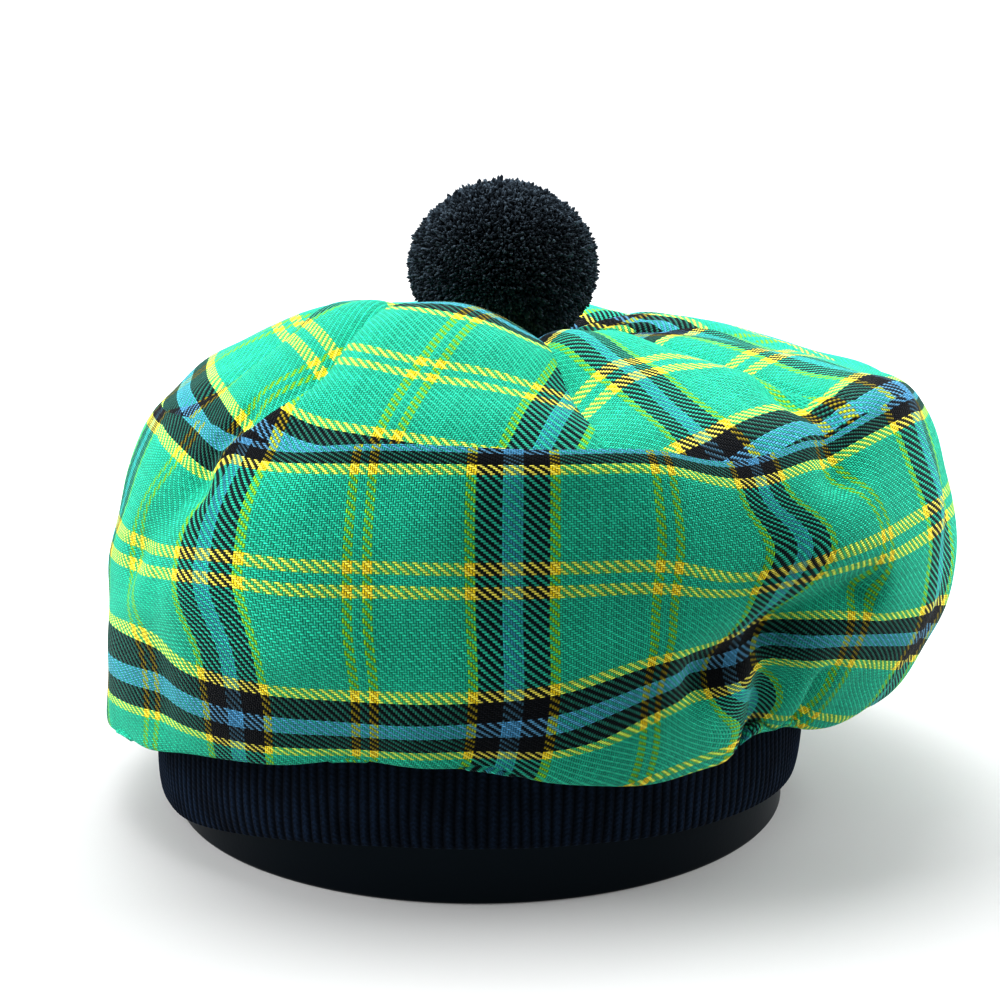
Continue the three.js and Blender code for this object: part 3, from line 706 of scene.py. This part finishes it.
# tufts stand out from a rounded core: the height of tuft i of n is 1 - (2i + 1)/n and it is turned by i golden
# angles; each is rings of points round its own axis and a tip
def makePompom(c):
    rng = np.random.default_rng(c["seed"])
    n, sides = c["tufts"], c["sides"]
    squash = np.array([1, 1, c["halfHeight"] / c["radius"]])
    i = np.arange(n)
    up = 1 - (2 * i + 1) / n
    turn = i * np.pi * (3 - np.sqrt(5))
    way = np.stack([np.sqrt(1 - up**2) * np.cos(turn), np.sqrt(1 - up**2) * np.sin(turn), up], -1)
    way = way + rng.normal(0, c["jitter"], way.shape)
    way /= np.linalg.norm(way, axis=1, keepdims=True)
    onHead = way * c["bulgeScale"]
    bulge = softNoise(onHead[:, 0], onHead[:, 1] + onHead[:, 2], c["bulgeWave"], c["bulgeSeed"])
    reach = c["radius"] * (1 - c["uneven"] + c["uneven"] * (bulge + rng.uniform(-1, 1, n)))
    reach = reach + c["peak"] * bell(way[:, 2], 1, c["peakWidth"])
    foot = way * c["radius"] * c["core"] * c["tuftFoot"]
    end = way * reach[:, None] + rng.normal(0, c["lean"], (n, 3)) * (reach - c["radius"] * c["core"])[:, None]
    axis = end - foot
    axis /= np.linalg.norm(axis, axis=1, keepdims=True)
    sideA = np.cross(axis, np.where(np.abs(axis[:, 2:]) < 0.9, [[0, 0, 1]], [[1, 0, 0]]))
    sideA /= np.linalg.norm(sideA, axis=1, keepdims=True)
    sideB = np.cross(axis, sideA)
    spin = rng.uniform(0, 2 * np.pi, n)[:, None] + 2 * np.pi * np.arange(sides)[None] / sides
    thick = c["yarn"] * rng.uniform(*c["yarnSpread"], n)
    circle = np.cos(spin)[..., None] * sideA[:, None] + np.sin(spin)[..., None] * sideB[:, None]
    rings = [
        mix(foot, end, share)[:, None] + (thick * girth)[:, None, None] * circle for share, girth in c["girths"]
    ]
    points = np.concatenate([np.concatenate(rings, 1), end[:, None]], 1)  # tuft by tuft: two rings, then the tip
    each = len(rings) * sides + 1
    ringQuads = gridCells(len(rings), sides)
    cap = np.stack([sides + np.arange(sides), sides + (np.arange(sides) + 1) % sides, np.full(sides, each - 1)], -1)
    start = (i * each)[:, None, None]
    quads = (start + ringQuads[None]).reshape(-1, 4)
    tris = (start + cap[None]).reshape(-1, 3)
    tone = np.repeat(rng.uniform(0, 1, n), each)

    # the core and the tie under it: one profile turned about the upright axis
    low = np.sqrt(c["radius"] ** 2 * c["core"] ** 2 - c["tieRadius"] ** 2)
    bend = np.linspace(-np.arcsin(low / c["radius"] / c["core"]), np.pi / 2, c["corePoints"])[:-1]
    profile = np.stack([np.cos(bend), np.sin(bend)], -1) * c["radius"] * c["core"]
    tie = np.array([[c["tieRadius"], -(c["lift"] - c["tieGap"]) / squash[2]], [c["tieRadius"], -low - 1]])
    profile = np.concatenate([tie, profile])
    columns = c["coreColumns"]
    azimuth = 360 * np.arange(columns) / columns
    core = polar(profile[:, :1], azimuth[None], profile[:, 1:])
    poles = np.array([[0, 0, profile[0, 1]], [0, 0, c["radius"] * c["core"]]])
    first = n * each
    coreQuads = gridCells(len(profile), columns, first)
    j = np.arange(columns)
    k = (j + 1) % columns
    last = first + (len(profile) - 1) * columns
    bottom = first + len(profile) * columns
    coreTris = np.concatenate([
        np.stack([first + k, first + j, np.full(columns, bottom)], -1),
        np.stack([last + j, last + k, np.full(columns, bottom + 1)], -1),
    ])
    points = np.concatenate([points.reshape(-1, 3), core.reshape(-1, 3), poles]) * squash
    points = points + np.array(crown["apex"]) + np.array([0, 0, c["lift"]])
    tone = np.concatenate([tone, np.zeros(len(points) - len(tone))])
    quads, tris = np.concatenate([quads, coreQuads]), np.concatenate([tris, coreTris])
    return makePiece("pompom_yarn", points, quads, tris, tone=tone)


cutYarn = dict(
    dark="#162029", light="#626f7a", tonePower=1.6, fleckShare=1.6, fleckScale=1800.0,
    roughness=1.0, specular=0.1, sheen=0.03, sheenRoughness=0.6, bump=0.4, relief=0.0004,
)


# each tuft has its own tone between the dark and the light yarn, flecked by small noise
def pompomYarn(c):
    finish, tree, body = newFinish("cut_pompom_wool", **woolShader(c))
    tone = addNode(tree, "ShaderNodeAttribute", attribute_name="tone").outputs["Fac"]
    spot = addNode(tree, "ShaderNodeTexCoord").outputs["Object"]
    fleck = speckle(tree, spot, c["fleckScale"], 2.0)
    flecked = sums(tree, "MULTIPLY", fleck, c["fleckShare"])
    share = sums(tree, "MULTIPLY", sums(tree, "POWER", tone, c["tonePower"]), flecked)
    tree.links.new(blendColours(tree, share, colour(c["dark"]), colour(c["light"])), body.inputs["Base Color"])
    bumped(tree, body, fleck, c["bump"], c["relief"])
    return finish


pompomPiece = makePompom(pompom)
pompomPiece.data.materials.append(pompomYarn(cutYarn))
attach(pompomPiece, "root")
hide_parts("pompom")
print("pompom done")

# floor, light and camera

studio = dict(
    floorTone="#bcbcbc", floorSecond="#b7b7b8", floorGlow=0.19, floorRoughness=0.9, floorSpecular=0.2, grainScale=3.0,
    halfWidth=4000.0, front=-3500.0, back=1500.0, bend=700.0, bendPoints=25, top=2600.0, skyLight=0.04,
    # name, place, aim, size, watts
    lamps=[
        ("lamp_overhead", (-250, 200, 1700), (0, 0, 60), 1000, 18),
        ("lamp_left", (-1400, -250, 1000), (0, 0, 80), 1100, 35),
        ("lamp_right", (1400, 220, 850), (0, 0, 60), 1300, 33),
        ("lamp_backdrop", (0, 300, 1500), (0, 2200, 800), 2000, 68),
    ],
    gamma=0.72, sensor=36.0, lens=72.72, cameraAt=(-9.4, -587.2, 221.2), pitch=13.008, seenFrom=0.01, seenTo=50.0,
)


# the floor runs back flat, turns up on a quarter circle and goes on as a wall
def makeFloor(c):
    bend = np.radians(np.linspace(0, 90, c["bendPoints"]))
    y = np.concatenate([[c["front"]], c["back"] + c["bend"] * np.sin(bend), [c["back"] + c["bend"]]])
    z = np.concatenate([[0], c["bend"] * (1 - np.cos(bend)), [c["top"]]])
    x = np.array([-1, 1]) * c["halfWidth"]
    points = np.stack([np.stack([np.full(len(y), side), y, z], -1) for side in x], 1)
    i = np.arange(len(y) - 1)
    return makePiece("floor", points.reshape(-1, 3), np.stack([2 * i, 2 * i + 1, 2 * i + 3, 2 * i + 2], -1))


# paper with a faint glow, its tone drifting between two greys on large soft noise
def floorPaper(c):
    finish, tree, body = newFinish(
        "floor_paper", Roughness=c["floorRoughness"], Specular_IOR_Level=c["floorSpecular"],
        Emission_Color=(1, 1, 1, 1), Emission_Strength=c["floorGlow"],
    )
    spot = addNode(tree, "ShaderNodeTexCoord").outputs["Object"]
    grain = speckle(tree, spot, c["grainScale"], 2.0)
    greys = blendColours(tree, grain, colour(c["floorTone"]), colour(c["floorSecond"]))
    tree.links.new(greys, body.inputs["Base Color"])
    return finish


# a square lamp at a place, turned to its aim
def addLamp(name, place, aim, size, watts):
    lamp = bpy.data.lights.new(name, "AREA")
    lamp.size, lamp.energy = size * mm, watts
    thing = bpy.data.objects.new(name, lamp)
    thing.location = Vector(place) * mm
    thing.rotation_euler = (Vector(aim) - Vector(place)).to_track_quat("-Z", "Y").to_euler()
    bpy.context.scene.collection.objects.link(thing)


floorPiece = makeFloor(studio)
floorPiece.data.materials.append(floorPaper(studio))
for row in studio["lamps"]:
    addLamp(*row)
world = bpy.data.worlds.new("studio_room")
bpy.context.scene.world = world
world.use_nodes = True
world.node_tree.nodes["Background"].inputs[0].default_value = (1, 1, 1, 1)
world.node_tree.nodes["Background"].inputs[1].default_value = studio["skyLight"]
bpy.context.scene.view_settings.view_transform = "Standard"
bpy.context.scene.view_settings.gamma = studio["gamma"]

eye = bpy.data.cameras.new("camera")
eye.sensor_fit, eye.sensor_width, eye.lens = "HORIZONTAL", studio["sensor"], studio["lens"]
eye.clip_start, eye.clip_end = studio["seenFrom"], studio["seenTo"]
camera = bpy.data.objects.new("camera", eye)
camera.location = [v * mm for v in studio["cameraAt"]]
camera.rotation_euler = (np.radians(90 - studio["pitch"]), 0, 0)
bpy.context.scene.collection.objects.link(camera)
bpy.context.scene.camera = camera
print("floor, light and camera done")
